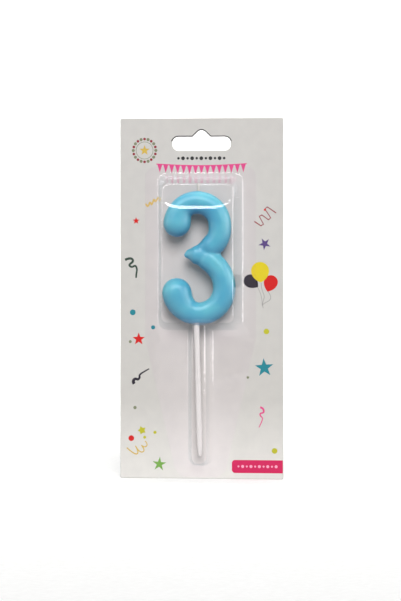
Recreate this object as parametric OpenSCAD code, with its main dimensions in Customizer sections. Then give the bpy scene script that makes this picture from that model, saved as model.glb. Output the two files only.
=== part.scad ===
// Carded blister pack holding a numeral birthday candle on a pick.
// Frame: x to the right, y into the pack (the front faces -y), z up.
// The origin is where the display peg bears: top of the hang slot's arch, on the card's front face.

/* [View] */
// which piece to draw

/* [Card] */
// width of the printed card
card_w = 82; // [60:1:120]
// thickness of the board
card_t = 0.5; // [0.3:0.05:1]
// corner radius of the card
card_r = 0.8; // [0.3:0.1:6]
// board above the hang slot's arch
card_top = 6; // [4:0.5:12]
// board below the blister's flange
card_foot = 1; // [0.5:0.1:12]

/* [Hang slot] */
// overall width of the slot
slot_w = 29.5; // [20:0.5:36]
// height of the slot's two wings
slot_h = 6.9; // [4:0.1:10]
// radius of the arch the peg bears in
arch_r = 2.8; // [2:0.1:3.4]
// from the top of the arch down to the top of the wings
arch_rise = 3.3; // [2.6:0.1:5]

/* [Numeral] */
// overall width of the numeral
num_w = 37.4; // [28:0.2:60]
// overall height of the numeral
num_h = 66.8; // [50:0.2:100]
// width of the upper bowl as a share of the overall width
upper_share = 0.915; // [0.8:0.005:1]
// thickness of the stroke in the numeral's plane
stroke = 11.5; // [8:0.1:15]
// width of the upper ball end
ball_up = 14; // [9:0.1:18]
// width of the lower ball end
ball_low = 15; // [9:0.1:18]
// depth of the stroke as a share of its width
depth_share = 0.87; // [0.6:0.01:1]
// lean of the candle inside the pack, in degrees
lean = 1.5; // [0:0.1:3]
// sideways place of the numeral's lower bowl in the cavity
num_shift = -0.15; // [-1:0.05:1]

/* [Wick and pick] */
// diameter of the wick
wick_d = 1.5; // [0.8:0.1:2.5]
// length of wick standing out of the wax
wick_free = 4; // [2:0.5:8]
// length of wick held in the wax
wick_in = 7; // [4:0.5:9]
// diameter of the pick
pick_d = 2.8; // [2:0.1:4]
// length of pick standing out of the wax
pick_free = 65.5; // [40:0.5:90]
// length of pick held in the wax
pick_in = 9; // [5:0.5:10]
// length of the pick's tapered tip
pick_tip = 6; // [2:0.5:12]

/* [Blister] */
// sideways place of the blister on the card
blister_x = -0.5; // [-2:0.1:2]
// thickness of the formed sheet
sheet = 0.3; // [0.2:0.02:0.5]
// from the arch down to the top of the flange
flange_z = 18.3; // [15:0.1:30]
// flange above the cavity
flange_top = 3.5; // [2:0.1:8]
// flange beside the cavity
flange_side = 6.6; // [3:0.1:10]
// flange beyond the end of the channel
flange_end = 5.4; // [3:0.1:10]
// half width of the flange at its lower end
flange_low = 12; // [10:0.1:20]
// sideways draft of the cavity's walls, mm per mm of depth
draft_side = 0.22; // [0.1:0.01:0.4]
// draft of the cavity's top wall
draft_top = 0.36; // [0.1:0.01:0.5]
// draft of the cavity's bottom wall
draft_bottom = 0.3; // [0.1:0.01:0.5]
// corner radius of the cavity where it meets the flange
cav_r = 4.5; // [2:0.1:8]
// rounding of the cavity's front edge
cav_edge = 1.6; // [0.8:0.1:4]
// width of the pick channel's lower end where it meets the flange
chan_w = 12.8; // [10.5:0.1:16]
// how much wider the channel gets for each mm upward, as a share of its width
chan_flare = 0.0026; // [0:0.0001:0.004]
// draft of the channel's side walls
chan_draft = 0.34; // [0.2:0.01:0.4]
// draft of the channel's end wall
chan_draft_end = 0.16; // [0.05:0.01:0.4]
// rounding of the channel's front edge
chan_edge = 2.4; // [0.8:0.1:3]

/* [Clearances] */
// lacquer line between card and flange
seal_gap = 0.05; // [0.03:0.01:0.2]
// between numeral and card
gap_back = 0.7; // [0.3:0.1:2]
// between numeral and the cavity's front
gap_front = 0.9; // [0.3:0.1:3]
// between numeral and the nearer side wall of the cavity
gap_side = 0.5; // [0.3:0.1:3]
// between numeral and the cavity's bottom wall
gap_bottom = 0.4; // [0.2:0.1:3]
// between wick and the cavity's top wall
gap_wick = 1.8; // [0.3:0.1:5]
// between pick and the channel's front
gap_pick = 0.6; // [0.3:0.1:3]
// between the pick's tip and the channel's end
gap_tip = 3.6; // [0.5:0.1:6]

/* [Hidden] */
$fn = 48;
around = 18;
turns = 22;

// numeral, in its own plane: u to the right, v up, origin at its centre
sr = stroke / 2;
up_w = num_w * upper_share;
up_v = num_h / 2 - up_w / 2;
low_v = -num_h / 2 + num_w / 2;
up_u = 0.003 * num_w;
beak_up = [-0.108 * num_w, 0.04 * num_h];
beak_low = [-0.099 * num_w, 0.03 * num_h];
beak_r = 2.1;
up_from = 172;
low_to = -168;
half_depth = depth_share * max(stroke, ball_up, ball_low) / 2;

// place of the candle in the pack
mid_y = -gap_back - half_depth;
cav_d = gap_back + 2 * half_depth + gap_front + sheet;
mid_d = -mid_y;
pick_u = -0.04 * num_w;
wick_u = 0.03 * num_w;
cav_half = num_w / 2 + abs(num_shift) + gap_side + sheet * 1.03 + draft_side * mid_d;
cav_top = -flange_z - flange_top;
wick_v = num_h / 2 - 0.25 + wick_free;
num_z = cav_top - draft_top * (mid_d + wick_d / 2) - sheet - gap_wick - wick_v;
num_x = blister_x + num_shift + low_v * sin(lean);
cav_bottom = num_z - num_h / 2 - gap_bottom - sheet * 1.1 - draft_bottom * mid_d;
tip_v = -num_h / 2 - pick_free;
tip_z = num_z + tip_v * cos(lean);
chan_d = mid_d + pick_d / 2 + gap_pick + sheet;
chan_end = tip_z - gap_tip - sheet - chan_draft_end * mid_d;
flange_half = cav_half + flange_side;
flange_bottom = chan_end - flange_end;
card_bottom = flange_bottom - card_foot;
// half width of the arch where its sloping flanks meet the wings
arch_foot = arch_rise - arch_r + arch_r * sqrt(2);

function mix(a, b, t) = a + (b - a) * t;
function ease(t) = let (c = min(1, max(0, t))) c * c * (3 - 2 * c);
function curve(a, b, c, d, t) =
    let (s = 1 - t) s * s * s * a + 3 * s * s * t * b + 3 * s * t * t * c + t * t * t * d;

// the upper stroke: ball end, bowl, then the tail running down to the beak
function upper_path() = let (
    r = up_w / 2,
    a = [up_u + r - sr, up_v],
    b = a + [0.013 * num_w, -0.157 * num_h],
    c = beak_up + [0.24 * num_w, 0.024 * num_h])
    concat(
        [for (i = [0 : turns]) let (
            t = i / turns,
            q = mix(up_from, 0, t),
            w = mix(ball_up / 2, sr, ease(t / 0.34)))
            [up_u + (r - w) * cos(q), up_v + (r - w) * sin(q), w]],
        [for (i = [1 : 14]) let (
            t = i / 14,
            p = curve(a, b, c, beak_up, t),
            w = mix(sr, beak_r, ease((t - 0.5) / 0.5)))
            [p[0], p[1], w]]);

// the lower stroke: beak, shoulder, bowl, ball end
function lower_path() = let (
    r = num_w / 2,
    d = [r - sr, low_v],
    b = beak_low + [0.2 * num_w, 0],
    c = d + [0, 0.15 * num_h])
    concat(
        [for (i = [0 : 13]) let (
            t = i / 14,
            p = curve(beak_low, b, c, d, t),
            w = mix(beak_r, sr, ease(t / 0.38)))
            [p[0], p[1], w]],
        [for (i = [0 : turns]) let (
            t = i / turns,
            q = mix(0, low_to, t),
            w = mix(sr, ball_low / 2, ease((t - 0.55) / 0.45)))
            [(r - w) * cos(q), low_v + (r - w) * sin(q), w]]);

// unit direction of a path at point i
function heading(p, i) = let (
    a = p[max(0, i - 1)],
    b = p[min(len(p) - 1, i + 1)],
    l = norm([b[0] - a[0], b[1] - a[1]]))
    [(b[0] - a[0]) / l, (b[1] - a[1]) / l];

// stations along a stroke with round ends: [u, v, half width, direction]
function stations(p) = let (
    n = len(p) - 1,
    h0 = heading(p, 0),
    h1 = heading(p, n))
    concat(
        [for (q = [72, 54, 36, 18])
            [p[0][0] - h0[0] * p[0][2] * sin(q), p[0][1] - h0[1] * p[0][2] * sin(q), p[0][2] * cos(q), h0]],
        [for (i = [0 : n]) [p[i][0], p[i][1], p[i][2], heading(p, i)]],
        [for (q = [18, 36, 54, 72])
            [p[n][0] + h1[0] * p[n][2] * sin(q), p[n][1] + h1[1] * p[n][2] * sin(q), p[n][2] * cos(q), h1]]);

// two triangles for each side of a skin between ring i and ring i + 1
function band(i, m, first) = [for (j = [0 : m - 1], k = [0, 1]) let (
    a = first + i * m + j,
    b = first + i * m + (j + 1) % m,
    c = b + m,
    d = a + m)
    k == 0 ? [a, d, c] : [a, c, b]];

// a rounded stroke of oval section following a path
module stroke_body(p) {
    s = stations(p);
    n = len(s);
    h0 = heading(p, 0);
    h1 = heading(p, len(p) - 1);
    last = len(p) - 1;
    apex0 = [p[0][0] - h0[0] * p[0][2], 0, p[0][1] - h0[1] * p[0][2]];
    apex1 = [p[last][0] + h1[0] * p[last][2], 0, p[last][1] + h1[1] * p[last][2]];
    rings = [for (q = s, j = [0 : around - 1]) let (a = 360 * j / around)
        [q[0] - q[3][1] * q[2] * cos(a), -q[2] * depth_share * sin(a), q[1] + q[3][0] * q[2] * cos(a)]];
    polyhedron(
        points = concat([apex0], rings, [apex1]),
        faces = concat(
            [for (j = [0 : around - 1]) [0, 1 + j, 1 + (j + 1) % around]],
            [for (i = [0 : n - 2]) each band(i, around, 1)],
            [for (j = [0 : around - 1]) let (f = 1 + (n - 1) * around)
                [f + (j + 1) % around, f + j, 1 + n * around]]));
}

// puts the candle's own plane into the pack
module in_pack() {
    translate([num_x, mid_y, num_z])
        rotate([0, -lean, 0])
            children();
}

// points of a rounded rectangle, anticlockwise seen from the front, as [x, z]
function outline(x0, x1, z0, z1, r, n) = concat(
    [for (i = [0 : n]) let (a = -90 + 90 * i / n) [x1 - r + r * cos(a), z0 + r + r * sin(a)]],
    [for (i = [0 : n]) let (a = 90 * i / n) [x1 - r + r * cos(a), z1 - r + r * sin(a)]],
    [for (i = [0 : n]) let (a = 90 + 90 * i / n) [x0 + r + r * cos(a), z1 - r + r * sin(a)]],
    [for (i = [0 : n]) let (a = 180 + 90 * i / n) [x0 + r + r * cos(a), z0 + r + r * sin(a)]]);

// depth and inward step of each level of a formed wall with a rounded front edge
function levels(d, edge) = concat(
    [[0, 0, 0], [d - edge, 0, d - edge]],
    [for (q = [22.5, 45, 67.5, 90]) [d - edge + edge * sin(q), edge * (1 - cos(q)), d - edge]]);

// a tub: back at y = -start, front at y = -d; drafts ks, kt and kb are for side, top and bottom
module tub(half, z0, z1, d, r, edge, ks, kt, kb, start, flare) {
    n = 6;
    m = 4 * (n + 1);
    lv = levels(d, edge);
    rings = [for (l = lv) let (
        w = half - ks * l[2] - l[1],
        t = z1 - kt * l[2] - l[1],
        b = z0 + kb * l[2] + l[1],
        c = max(0.3, r - 0.35 * ks * l[2] - 0.6 * l[1]),
        y = l[0] == 0 ? -start : -l[0])
        each [for (p = outline(-w, w, b, t, min(c, w - 0.1), n))
            [blister_x + p[0] * (1 + flare * (p[1] - z0)), y, p[1]]]];
    polyhedron(
        points = rings,
        faces = concat(
            [[for (j = [0 : m - 1]) j]],
            [for (i = [0 : len(lv) - 2]) each band(i, m, 0)],
            [[for (j = [m - 1 : -1 : 0]) (len(lv) - 1) * m + j]]));
}

// cavity and channel, grown outward by g from the inside of the sheet
module hollow(g, start) {
    tub(cav_half - sheet + g, cav_bottom + sheet - g, cav_top - sheet + g, cav_d - sheet + g,
        cav_r - sheet + g, cav_edge - sheet + g, draft_side, draft_top, draft_bottom, start, 0);
    tub(chan_w / 2 - sheet + g, chan_end + sheet - g, cav_bottom + 8, chan_d - sheet + g,
        chan_w * 0.36 - sheet + g, chan_edge - sheet + g, chan_draft, 0, chan_draft_end, start, chan_flare);
}

// one corner of a flat outline at b, rounded to radius r between the neighbours a and c
function corner(a, b, c, r) = let (
    u = (a - b) / norm(a - b),
    v = (c - b) / norm(c - b),
    half = acos(u * v) / 2,
    m = b + (u + v) / norm(u + v) * r / sin(half),
    s = b + u * r / tan(half) - m,
    turn = 180 - 2 * half,
    way = cross(s, b + v * r / tan(half) - m) > 0 ? 1 : -1)
    [for (i = [0 : 6]) let (q = way * turn * i / 6)
        m + [s[0] * cos(q) - s[1] * sin(q), s[0] * sin(q) + s[1] * cos(q)]];

module slot_shape() {
    low = -arch_rise - slot_h;
    pts = [
        [slot_w / 2, low],
        [slot_w / 2, -arch_rise],
        [arch_foot, -arch_rise],
        [0, arch_foot - arch_rise],
        [-arch_foot, -arch_rise],
        [-slot_w / 2, -arch_rise],
        [-slot_w / 2, low]];
    n = len(pts);
    wing = 0.46 * slot_h;
    radii = [wing, wing, 0.6, arch_r, 0.6, wing, wing];
    polygon([for (i = [0 : n - 1]) each corner(pts[(i + n - 1) % n], pts[i], pts[(i + 1) % n], radii[i])]);
}

module flange_shape() {
    shoulder = cav_bottom - 4;
    pts = [
        [flange_half, -flange_z],
        [-flange_half, -flange_z],
        [-flange_half, shoulder],
        [-flange_low, flange_bottom],
        [flange_low, flange_bottom],
        [flange_half, shoulder]];
    n = len(pts);
    radii = [5, 5, 16, 6, 6, 16];
    translate([blister_x, 0])
        polygon([for (i = [0 : n - 1])
            each corner(pts[(i + n - 1) % n], pts[i], pts[(i + 1) % n], radii[i])]);
}

// stands a flat shape up: drawn in x and z, t thick, its front at y = -front
module upright(front, t) {
    translate([0, t - front, 0])
        rotate([90, 0, 0])
            linear_extrude(height = t)
                children();
}

module backing_card() {
    color([0.88, 0.87, 0.86])
        difference() {
            upright(0, card_t)
                union() {
                    translate([-card_w / 2, card_bottom + card_r])
                        square([card_w, card_top - card_bottom - 2 * card_r]);
                    translate([-card_w / 2 + card_r, card_bottom])
                        square([card_w - 2 * card_r, card_top - card_bottom]);
                    for (x = [-1, 1], z = [card_bottom + card_r, card_top - card_r])
                        translate([x * (card_w / 2 - card_r), z])
                            circle(r = card_r);
                }
            upright(1, card_t + 2)
                slot_shape();
        }
}

module blister_shell() {
    color([0.85, 0.92, 0.96, 0.45])
        difference() {
            union() {
                upright(seal_gap + sheet, sheet)
                    flange_shape();
                hollow(sheet, seal_gap);
            }
            hollow(0, seal_gap - 1);
        }
}

module wax_numeral() {
    color([0.38, 0.72, 0.84])
        in_pack()
            difference() {
                union() {
                    stroke_body(upper_path());
                    stroke_body(lower_path());
                }
                translate([wick_u, 0, wick_v - wick_free - wick_in])
                    cylinder(d = wick_d, h = wick_in + 6);
                translate([pick_u, 0, -num_h / 2 - 6])
                    cylinder(d = pick_d, h = pick_in + 6);
            }
}

module wick() {
    color([0.9, 0.89, 0.86])
        in_pack()
            translate([wick_u, 0, wick_v - wick_free - wick_in])
                union() {
                    cylinder(d = wick_d, h = wick_in + wick_free - 0.4);
                    translate([0, 0, wick_in + wick_free - 0.4])
                        cylinder(d1 = wick_d, d2 = wick_d - 0.6, h = 0.4);
                }
}

module pick() {
    color([0.93, 0.92, 0.9])
        in_pack()
            translate([pick_u, 0, tip_v])
                union() {
                    translate([0, 0, pick_tip])
                        cylinder(d = pick_d, h = pick_free + pick_in - pick_tip);
                    cylinder(d1 = pick_d * 0.62, d2 = pick_d, h = pick_tip);
                }
}

backing_card();
blister_shell();
wax_numeral();
wick();
pick();
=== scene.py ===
"""Carded numeral candle: printed board, clear blister, wax numeral, wick and pick, in a plain studio."""
import math

import bmesh
import bpy
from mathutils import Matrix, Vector


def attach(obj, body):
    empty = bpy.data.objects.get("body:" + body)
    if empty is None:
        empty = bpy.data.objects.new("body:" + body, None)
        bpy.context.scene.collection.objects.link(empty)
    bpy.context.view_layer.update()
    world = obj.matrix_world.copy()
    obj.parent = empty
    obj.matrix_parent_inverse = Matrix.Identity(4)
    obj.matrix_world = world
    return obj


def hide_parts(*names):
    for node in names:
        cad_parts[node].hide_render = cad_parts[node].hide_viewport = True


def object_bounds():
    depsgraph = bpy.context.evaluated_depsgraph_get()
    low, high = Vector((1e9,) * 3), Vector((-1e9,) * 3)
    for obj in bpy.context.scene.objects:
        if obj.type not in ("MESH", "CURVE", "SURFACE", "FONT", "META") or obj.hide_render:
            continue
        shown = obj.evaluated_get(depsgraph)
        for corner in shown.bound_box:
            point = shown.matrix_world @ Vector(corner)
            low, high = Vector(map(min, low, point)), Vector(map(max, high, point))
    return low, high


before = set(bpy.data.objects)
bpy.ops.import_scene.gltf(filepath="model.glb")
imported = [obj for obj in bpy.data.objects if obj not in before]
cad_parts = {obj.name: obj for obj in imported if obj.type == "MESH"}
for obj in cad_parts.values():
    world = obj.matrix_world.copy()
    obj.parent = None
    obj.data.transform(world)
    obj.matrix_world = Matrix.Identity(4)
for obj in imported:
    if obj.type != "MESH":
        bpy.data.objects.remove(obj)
CAD_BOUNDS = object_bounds()

bl_info = {
    "name": "Carded numeral candle",
    "version": (1, 0, 0),
    "blender": (4, 5, 0),
    "location": "3D View > Sidebar > Candle Pack",
    "description": "Models a wax numeral candle in a clear blister on a printed hang card",
    "category": "Object",
}

MM = 0.001


# ---------------------------------------------------------------- helpers for modelling

def clear_selection():
    """Object mode with nothing selected, which every operator below starts from."""
    if bpy.context.mode != "OBJECT":
        bpy.ops.object.mode_set(mode="OBJECT")
    bpy.ops.object.select_all(action="DESELECT")


def take(obj):
    """Makes one object the only selected one."""
    clear_selection()
    obj.select_set(True)
    bpy.context.view_layer.objects.active = obj


def edit(obj, mode="VERT"):
    """Edit mode on one object, with nothing of its mesh selected."""
    take(obj)
    bpy.ops.object.mode_set(mode="EDIT")
    bpy.ops.mesh.select_mode(type=mode)
    bpy.ops.mesh.select_all(action="DESELECT")


def pick_parts(obj, kind, test):
    """Selects the vertices, edges or faces for which test is true, by place or normal, and counts them."""
    bm = bmesh.from_edit_mesh(obj.data)
    parts = getattr(bm, kind)
    hits = [part for part in parts if test(part)]
    for part in parts:
        part.select_set(False)
    for part in hits:
        part.select_set(True)
    bm.select_flush_mode()
    bmesh.update_edit_mesh(obj.data)
    return len(hits)


def pick_all():
    bpy.ops.mesh.select_all(action="SELECT")


def extrude(x, y, z):
    """Draws out what is selected."""
    bpy.ops.mesh.extrude_region_move(TRANSFORM_OT_translate={"value": (x, y, z)})


def stretch(shares, centre):
    """Scales what is selected, by a share along each axis, from a centre."""
    bpy.ops.transform.resize(value=shares, center_override=centre)


def modify(obj, kind, **settings):
    """Adds a modifier and applies it at once."""
    take(obj)
    mod = obj.modifiers.new(kind.lower(), kind)
    for key, value in settings.items():
        setattr(mod, key, value)
    bpy.ops.object.modifier_apply(modifier=mod.name)


def settle(obj):
    """Puts the object's place, turn and size into its mesh."""
    take(obj)
    bpy.ops.object.transform_apply(location=True, rotation=True, scale=True)


def plain_plate(at, wide, tall):
    """An upright rectangle facing the front."""
    clear_selection()
    bpy.ops.mesh.primitive_plane_add(size=1, location=at, rotation=(math.radians(90), 0, 0))
    plate = bpy.context.object
    plate.scale = (wide, tall, 1)
    settle(plate)
    return plate


def join(objects, name):
    """Joins the objects into the first of them and names it."""
    clear_selection()
    for obj in objects:
        obj.select_set(True)
    bpy.context.view_layer.objects.active = objects[0]
    if len(objects) > 1:
        bpy.ops.object.join()
    objects[0].name = name
    return objects[0]


def drop(obj):
    bpy.data.objects.remove(obj, do_unlink=True)


def outward(obj):
    """Merges doubles, then points every face outwards."""
    edit(obj)
    pick_all()
    bpy.ops.mesh.remove_doubles(threshold=1e-7)
    bpy.ops.mesh.normals_make_consistent(inside=False)
    clear_selection()


def smooth(obj, angle):
    take(obj)
    bpy.ops.object.shade_smooth_by_angle(angle=math.radians(angle))


def dress(obj, name, body, surface=None, replaces=()):
    """Names a finished piece, gives it its surface, ties it to its body, and hides the CAD parts it replaces.
    """
    obj.name = name
    obj.data.name = name
    if surface:
        obj.data.materials.append(surface(bpy.context.scene.pack_colours))
    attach(obj, body)
    if replaces:
        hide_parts(*replaces)


# ---------------------------------------------------------------- helpers for materials

def linear(code):
    """An sRGB hex colour as linear red, green, blue and alpha."""
    values = [int(code[i:i + 2], 16) / 255 for i in (1, 3, 5)]
    return tuple(v / 12.92 if v <= 0.04045 else ((v + 0.055) / 1.055) ** 2.4 for v in values) + (1.0,)


def add(tree, kind, inputs=None, **settings):
    """Adds one node with its settings; an input takes either a value or the socket it is fed by."""
    node = tree.nodes.new(kind)
    for key, value in settings.items():
        setattr(node, key, value)
    for key, value in (inputs or {}).items():
        if isinstance(value, bpy.types.NodeSocket):
            tree.links.new(value, node.inputs[key])
        else:
            node.inputs[key].default_value = value
    return node


def new_material(name):
    """An empty material, its node tree, and the node that says where on the piece a point is."""
    material = bpy.data.materials.new(name)
    material.use_nodes = True
    tree = material.node_tree
    tree.nodes.clear()
    return material, tree, add(tree, "ShaderNodeTexCoord").outputs


def noise(tree, where, scale, detail):
    """A soft random pattern of so many cells to the metre."""
    return add(tree, "ShaderNodeTexNoise", {"Vector": where, "Scale": scale, "Detail": detail}).outputs["Fac"]


def remap(tree, value, old, new):
    """Carries a value from the old range into the new one and holds it there."""
    node = add(tree, "ShaderNodeMapRange", {
        "Value": value, "From Min": old[0], "From Max": old[1], "To Min": new[0], "To Max": new[1]})
    return node.outputs["Result"]


def ramp(tree, factor, stops):
    """The colour at a factor between the given (place, linear colour) stops."""
    node = add(tree, "ShaderNodeValToRGB", {"Fac": factor})
    node.color_ramp.elements[0].position, node.color_ramp.elements[0].color = stops[0]
    node.color_ramp.elements[1].position, node.color_ramp.elements[1].color = stops[-1]
    for place, shade in stops[1:-1]:
        node.color_ramp.elements.new(place).color = shade
    return node.outputs["Color"]


def blend_colours(tree, factor, first, second, kind="MIX"):
    """Mixes two colours; this node's sockets share their names, so they are taken by place."""
    node = add(tree, "ShaderNodeMix", data_type="RGBA", blend_type=kind)
    for place, value in ((0, factor), (6, first), (7, second)):
        if isinstance(value, bpy.types.NodeSocket):
            tree.links.new(value, node.inputs[place])
        else:
            node.inputs[place].default_value = value
    return node.outputs[2]


def blend_shaders(tree, factor, first, second):
    """Mixes two shaders; both sockets have one name, so they are taken by place."""
    node = add(tree, "ShaderNodeMixShader", {"Fac": factor})
    for place, shader in ((1, first), (2, second)):
        out = "BSDF" if "BSDF" in shader.outputs else "Shader"
        tree.links.new(shader.outputs[out], node.inputs[place])
    return node


def bumps(tree, height, strength, distance):
    node = add(tree, "ShaderNodeBump", {"Height": height, "Strength": strength, "Distance": distance})
    return node.outputs["Normal"]


def principled(tree, **inputs):
    """The finished surface; an underscore in an input's name stands for a space."""
    values = {key.replace("_", " "): value for key, value in inputs.items()}
    shader = add(tree, "ShaderNodeBsdfPrincipled", values)
    add(tree, "ShaderNodeOutputMaterial", {"Surface": shader.outputs["BSDF"]})


# ---------------------------------------------------------------- sizes and colours a user would change

def length(name, text, default):
    return bpy.props.FloatProperty(name=name, description=text, default=default, unit="LENGTH", precision=5)


def colour(name, text, code):
    return bpy.props.FloatVectorProperty(
        name=name, description=text, default=linear(code), size=4, subtype="COLOR", min=0, max=1)


class CandleSizes(bpy.types.PropertyGroup):
    """Sizes of the numeral, its wick and its pick, in the candle's own upright plane."""
    centre: bpy.props.FloatVectorProperty(
        name="Centre", description="Centre of the numeral in the pack", size=3, subtype="TRANSLATION",
        unit="LENGTH", default=(-1.035 * MM, -7.225 * MM, -63.921 * MM))
    lean: bpy.props.FloatProperty(
        name="Lean", description="Lean of the candle in the pack", subtype="ANGLE", default=math.radians(1.5))
    width: length("Width", "Overall width of the numeral", 37.4 * MM)
    height: length("Height", "Overall height of the numeral", 66.8 * MM)
    upper_share: bpy.props.FloatProperty(
        name="Upper share", description="Width of the upper bowl against the overall width", default=0.915)
    stroke: length("Stroke", "Thickness of the stroke", 11.5 * MM)
    ball_up: length("Upper ball", "Width of the upper ball end", 14 * MM)
    ball_low: length("Lower ball", "Width of the lower ball end", 15 * MM)
    depth_share: bpy.props.FloatProperty(
        name="Depth share", description="Depth of the stroke against its thickness", default=0.87)
    skin: length("Skin grid", "Cell of the grid the cast skin is drawn on", 0.4 * MM)
    wick_across: length("Wick across", "Thickness of the wick", 1.5 * MM)
    wick_free: length("Wick free", "Wick standing out of the wax", 4 * MM)
    wick_in: length("Wick in", "Wick held in the wax", 7 * MM)
    pick_across: length("Pick across", "Thickness of the pick", 2.8 * MM)
    pick_free: length("Pick free", "Pick standing out of the wax", 65.5 * MM)
    pick_in: length("Pick in", "Pick held in the wax", 9 * MM)
    pick_tip: length("Pick tip", "Tapered length at the pick's end", 6 * MM)


class PackSizes(bpy.types.PropertyGroup):
    """Sizes of the blister on its board."""
    middle: length("Middle", "Sideways place of the blister", -0.5 * MM)
    sheet: length("Sheet", "Thickness of the formed sheet", 0.3 * MM)
    seal: length("Seal", "Lacquer line between board and flange", 0.05 * MM)
    cavity_half: length("Cavity half width", "Half width of the cavity at the flange", 21.25 * MM)
    cavity_top: length("Cavity top", "Height of the cavity's top at the flange", -21.8 * MM)
    cavity_low: length("Cavity bottom", "Height of the cavity's bottom at the flange", -100.22 * MM)
    cavity_deep: length("Cavity depth", "Depth of the cavity from the board", 14.95 * MM)
    channel_half: length("Channel half width", "Half width of the pick channel's lower end", 6.4 * MM)
    channel_low: length("Channel bottom", "Height of the channel's lower end", -167.84 * MM)
    channel_deep: length("Channel depth", "Depth of the channel from the board", 9.525 * MM)
    flange_top: length("Flange top", "Height of the flange's top edge", -18.3 * MM)
    flange_half: length("Flange half width", "Half width of the flange beside the cavity", 27.85 * MM)
    flange_low: length("Flange bottom", "Height of the flange's lower edge", -173.24 * MM)
    flange_low_half: length("Flange low half width", "Half width of the flange's lower end", 12 * MM)
    dish_deep: length("Dish depth", "Depth of the shallow dish at the cavity's upper front", 1.15 * MM)
    dish_half: length("Dish half width", "Half width of the dish's flat", 16.8 * MM)
    dish_down: length("Dish reach", "How far the dish's flat reaches down", 10.8 * MM)
    dish_step: length("Dish step", "Width of the rounded step round the dish", 3.9 * MM)


class PackColours(bpy.types.PropertyGroup):
    """Colours of wax, board, pick, wick and inks, with painted shade on the wax's underside, the board's
    upper part and the hang slot's rim.
    """
    wax: colour("Wax", "Dyed paraffin wax", "#64BFCE")
    # painted shade: the darker, bluer wax put on the numeral's downward faces
    wax_painted_underside_shade: colour("Wax below", "Wax where the dye settled", "#2D74B0")
    wax_deep: colour("Deep wax", "Wax where the dye is densest", "#4DABC8")
    board: colour("Board", "Coated white board at its foot", "#E8E5E0")
    # painted shade: the grey the board takes a fifth of the way up and at its top, standing in for the
    # lighting
    board_middle_painted_shade: colour("Board middle", "Coated white board a fifth of the way up", "#CBC8C3")
    board_top_painted_shade: colour("Board top", "Coated white board at its top", "#CFCCC8")
    board_back: colour("Board back", "Uncoated back and cut edge of the board", "#B9B3A8")
    pick: colour("Pick", "Natural white polypropylene", "#E9E7E3")
    wick: colour("Wick", "Bleached cotton", "#E6E2D8")
    sheet: colour("Sheet", "Clear sheet", "#FFFEFF")
    red: colour("Red", "Red ink", "#CB1512")
    dark_red: colour("Dark red", "Dark red ink", "#8E2F38")
    gold: colour("Gold", "Gold ink", "#CFAF4E")
    yellow: colour("Yellow", "Yellow ink", "#DBC51F")
    teal: colour("Teal", "Teal ink", "#1F7F8C")
    green: colour("Green", "Green ink", "#75A64A")
    dark_green: colour("Dark green", "Dark green ink", "#33443A")
    olive: colour("Olive", "Olive ink", "#7F8468")
    grey: colour("Grey", "Grey ink", "#9A9794")
    pale: colour("Pale pink", "Pale pink ink", "#F3A9C4")
    navy: colour("Navy", "Navy ink", "#221A28")
    purple: colour("Purple", "Purple ink", "#543F79")
    pink: colour("Pink", "Pink ink", "#D94A86")
    lime: colour("Lime", "Yellow-green ink", "#B9B62C")
    magenta: colour("Magenta", "Magenta ink", "#CE1F58")
    # this black ink prints the dots and also the painted shadow line along the hang slot's rim
    black: colour("Black", "Black ink", "#2B2A2C")


# ---------------------------------------------------------------- materials

def moulded_wax(colours):
    """Dyed paraffin cast in a polished mould: light goes a little way in, so edges glow and shade is soft."""
    material, tree, place = new_material("moulded_paraffin_wax")
    # slow drift of the dye over about 15 mm
    drift = noise(tree, place["Object"], 65.0, 2.0)
    body = ramp(tree, drift, [(0.35, tuple(colours.wax_deep)), (0.62, tuple(colours.wax))])
    # painted shade: faces turned down are mixed towards a darker, bluer wax, standing in for the shadow under
    # the strokes
    turned = add(tree, "ShaderNodeSeparateXYZ", {"Vector": place["Normal"]})
    under = remap(tree, turned.outputs["Z"], (0.1, -1.0), (0.0, 0.75))
    body = blend_colours(tree, under, body, tuple(colours.wax_painted_underside_shade))
    # the mould leaves a faint orange-peel of about 1.5 mm
    peel = noise(tree, place["Object"], 650.0, 3.0)
    principled(tree, Base_Color=body, Roughness=remap(tree, peel, (0.3, 0.7), (0.3, 0.4)), IOR=1.44,
               Subsurface_Weight=0.4, Subsurface_Radius=(0.55, 0.9, 1.0), Subsurface_Scale=0.0022,
               Normal=bumps(tree, peel, 0.12, 0.0002))
    return material


def waxed_cotton(colours):
    """Bleached cotton strands stiffened with clear wax: pale and slightly shiny, with fine fibres."""
    material, tree, place = new_material("waxed_braided_cotton")
    fibre = noise(tree, place["Object"], 4000.0, 3.0)
    shade = ramp(tree, fibre, [(0.3, linear("#A9A7A2")), (0.62, tuple(colours.wick))])
    principled(tree, Base_Color=shade, Roughness=0.5, Coat_Weight=0.2,
               Normal=bumps(tree, fibre, 0.4, 0.00008))
    return material


def moulded_polypropylene(colours):
    """Natural polypropylene, injection moulded: milky, faintly translucent, satin with fine flow lines."""
    material, tree, place = new_material("moulded_white_polypropylene")
    # flow lines run along the pick, so the pattern is stretched along z
    stretch = add(tree, "ShaderNodeMapping", {"Vector": place["Object"], "Scale": (1.0, 1.0, 0.05)})
    flow = noise(tree, stretch.outputs["Vector"], 1500.0, 2.0)
    milk = ramp(tree, flow, [(0.3, linear("#DCDAD6")), (0.7, tuple(colours.pick))])
    principled(tree, Base_Color=milk, Roughness=remap(tree, flow, (0.3, 0.7), (0.32, 0.42)), IOR=1.49,
               Subsurface_Weight=0.3, Subsurface_Radius=(1.0, 1.0, 1.0), Subsurface_Scale=0.0008)
    return material


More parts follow.
